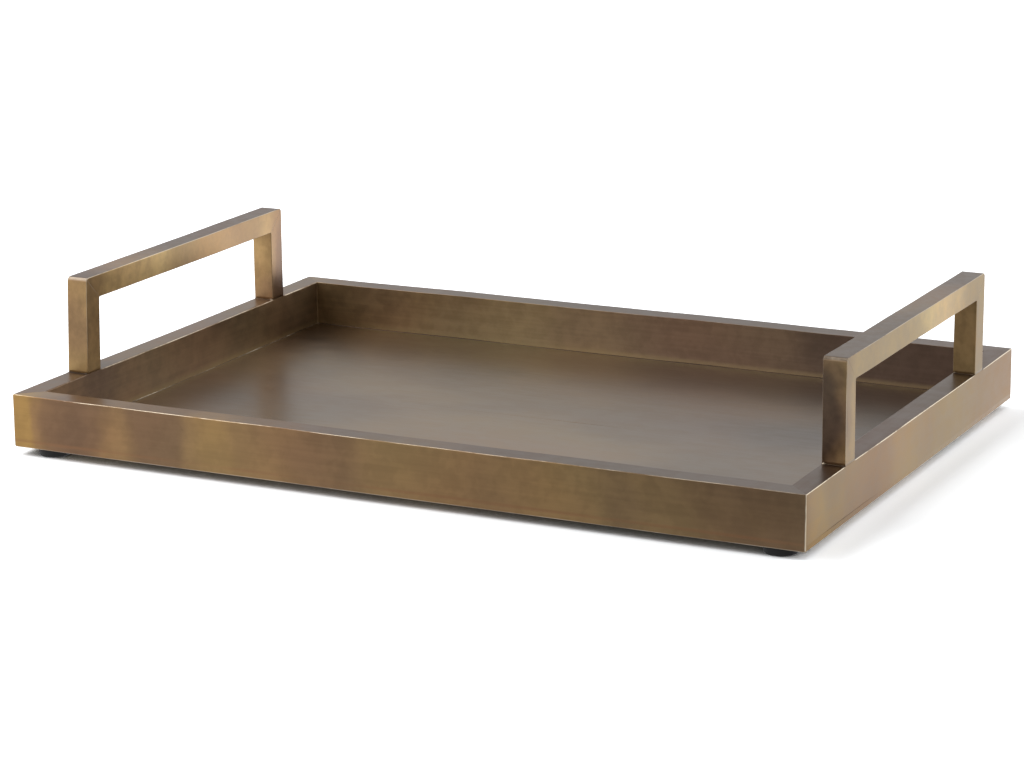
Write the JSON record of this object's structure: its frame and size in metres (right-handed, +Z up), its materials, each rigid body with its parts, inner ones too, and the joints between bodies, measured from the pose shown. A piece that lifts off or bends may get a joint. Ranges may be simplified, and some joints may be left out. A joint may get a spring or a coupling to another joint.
{
  "type": "serving tray",
  "caption": "Low rectangular serving tray in antique brass, with a flat floor, square-edged tube rails, upright bar handles on the short sides and round rubber feet.",
  "frame": {"origin": "centre of the footprint, on the surface that the feet stand on", "axes": "+X along the long side from the left handle to the right one, -Y the front, +Z up"},
  "size_m": [0.457, 0.318, 0.0879],
  "materials": {
    "antique_brass": "dark antique patina over satin brass, worn bright along the edges",
    "floor_brass": "dark antique patina with a smooth satin sheen and fine streaks along the long side",
    "foot_rubber": "matte black moulded rubber",
    "plated_steel": "bright zinc plate"
  },
  "bodies": {
    "root": {"floor_plate": "floor_brass", "front_rail": "antique_brass", "back_rail": "antique_brass", "left_rail": "antique_brass", "right_rail": "antique_brass", "left_handle_grip": "antique_brass", "left_handle_front_post": "antique_brass", "left_handle_back_post": "antique_brass", "right_handle_grip": "antique_brass", "right_handle_front_post": "antique_brass", "right_handle_back_post": "antique_brass", "foot_front_left": "foot_rubber", "foot_washer_front_left": "plated_steel", "foot_screw_front_left": "plated_steel", "foot_front_right": "foot_rubber", "foot_washer_front_right": "plated_steel", "foot_screw_front_right": "plated_steel", "foot_back_left": "foot_rubber", "foot_washer_back_left": "plated_steel", "foot_screw_back_left": "plated_steel", "foot_back_right": "foot_rubber", "foot_washer_back_right": "plated_steel", "foot_screw_back_right": "plated_steel"}
  },
  "joints": []
}
